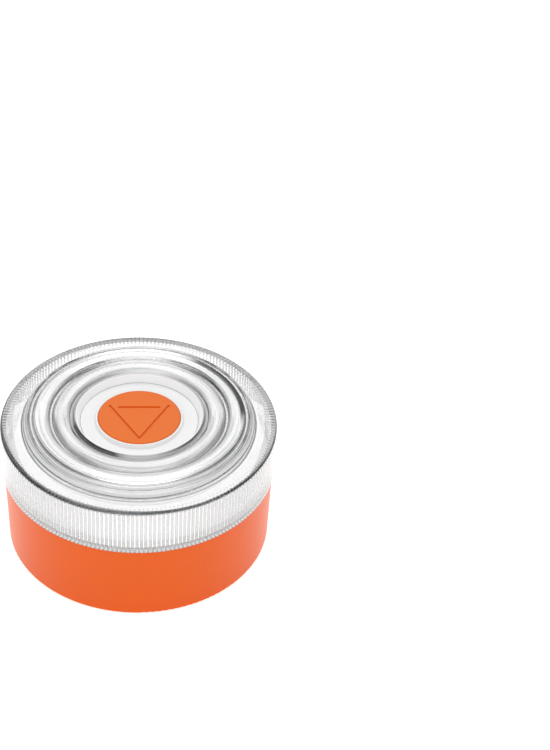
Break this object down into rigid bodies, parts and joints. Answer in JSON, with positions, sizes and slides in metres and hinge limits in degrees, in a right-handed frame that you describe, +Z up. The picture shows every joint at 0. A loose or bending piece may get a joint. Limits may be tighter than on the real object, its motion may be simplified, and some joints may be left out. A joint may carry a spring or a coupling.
{
  "type": "led safety flare",
  "caption": "Round battery-powered emergency beacon with a clear ribbed lens, ringed top, push button and magnetic base that clings to a car roof.",
  "frame": {"origin": "centre of the underside, on the plane that the rubber foot ring stands on", "axes": "+Z up through the button; -Y is the side that faces the user, where the button's triangle points; the battery door's hinge is on the -X side"},
  "size_m": [0.095, 0.095, 0.0512],
  "materials": {
    "orange_shell": "smooth orange ABS, semi-gloss",
    "orange_button": "smooth orange ABS, satin",
    "clear_lens": "clear moulded polycarbonate with inner ribs",
    "white_plastic": "white polycarbonate, smooth",
    "opal": "opal white polycarbonate, satin",
    "white_inner": "white moulded plastic, matt",
    "silicone": "grey silicone rubber",
    "white_seal": "white silicone rubber",
    "black_rubber": "black rubber, matt",
    "nickel": "nickel plate",
    "steel": "zinc-plated steel",
    "spring_steel": "nickel-plated spring steel",
    "cell_wrap": "dark printed wrap with a bare metal end",
    "main_pcb": "green solder mask",
    "led_pcb": "white solder mask",
    "led_amber": "amber silicone dome on a white package",
    "chip_black": "black moulding compound",
    "tin_shield": "tinned steel shield",
    "ceramic": "fired ceramic with a silver patch",
    "capacitor_sleeve": "dark blue sleeve on an aluminium can",
    "ferrite": "dark ferrite",
    "copper_film": "copper on polyimide film",
    "cable_black": "black cable jacket"
  },
  "bodies": {
    "housing": {"base_shell": "orange_shell", "lens_cover": "clear_lens", "lens_gasket": "white_seal", "foot_ring": "black_rubber", "magnets": "nickel", "magnet_caps": "white_inner", "battery_tray": "white_inner", "battery_cells": "cell_wrap", "contact_plates": "spring_steel", "contact_springs": "spring_steel", "hinge_pin": "steel", "inner_frame": "white_inner", "diffuser": "opal", "frame_screws": "steel", "board_screws": "steel", "reflector_screws": "steel", "main_board": "main_pcb", "led_board": "led_pcb", "amber_leds": "led_amber", "reflector": "white_plastic", "tact_switch": "chip_black", "button_bezel": "white_plastic", "button_spring": "spring_steel", "modem_module": "tin_shield", "processor_chip": "chip_black", "sim_chip": "chip_black", "driver_chip": "chip_black", "board_header": "chip_black", "reserve_capacitor": "capacitor_sleeve", "power_choke": "ferrite", "gnss_antenna": "ceramic", "cellular_antenna": "copper_film", "antenna_cable": "cable_black"},
    "button": {"push_button": "orange_button", "button_seal": "silicone"},
    "plunger": {"switch_plunger": "white_plastic"},
    "door": {"battery_door": "orange_shell", "door_gasket": "silicone"},
    "lock": {"lock_knob": "orange_shell", "lock_bar": "steel", "lock_clip": "spring_steel", "lock_seal": "silicone"}
  },
  "joints": [
    {"name": "button_press", "type": "slide", "parent": "housing", "child": "button", "axis": [0, 0, -1], "range_m": [0, 0.0008], "stiffness_N_per_m": 900, "springref_m": -0.002, "deforming": ["button_spring"]},
    {"name": "plunger_press", "type": "slide", "parent": "housing", "child": "plunger", "axis": [0, 0, -1], "range_m": [0, 0.0008], "stiffness_N_per_m": 500, "springref_m": -0.001},
    {"name": "door_hinge", "type": "hinge", "parent": "housing", "child": "door", "pos_m": [-0.03185, 0, 0.0016], "axis": [0, 1, 0], "range_deg": [0, 95]},
    {"name": "lock_turn", "type": "hinge", "parent": "door", "child": "lock", "pos_m": [0.035, 0, 0.0004], "axis": [0, 0, 1], "range_deg": [0, 90]}
  ],
  "couplings": [
    {"joint": "plunger_press", "follows": "button_press", "ratio": 1}
  ]
}
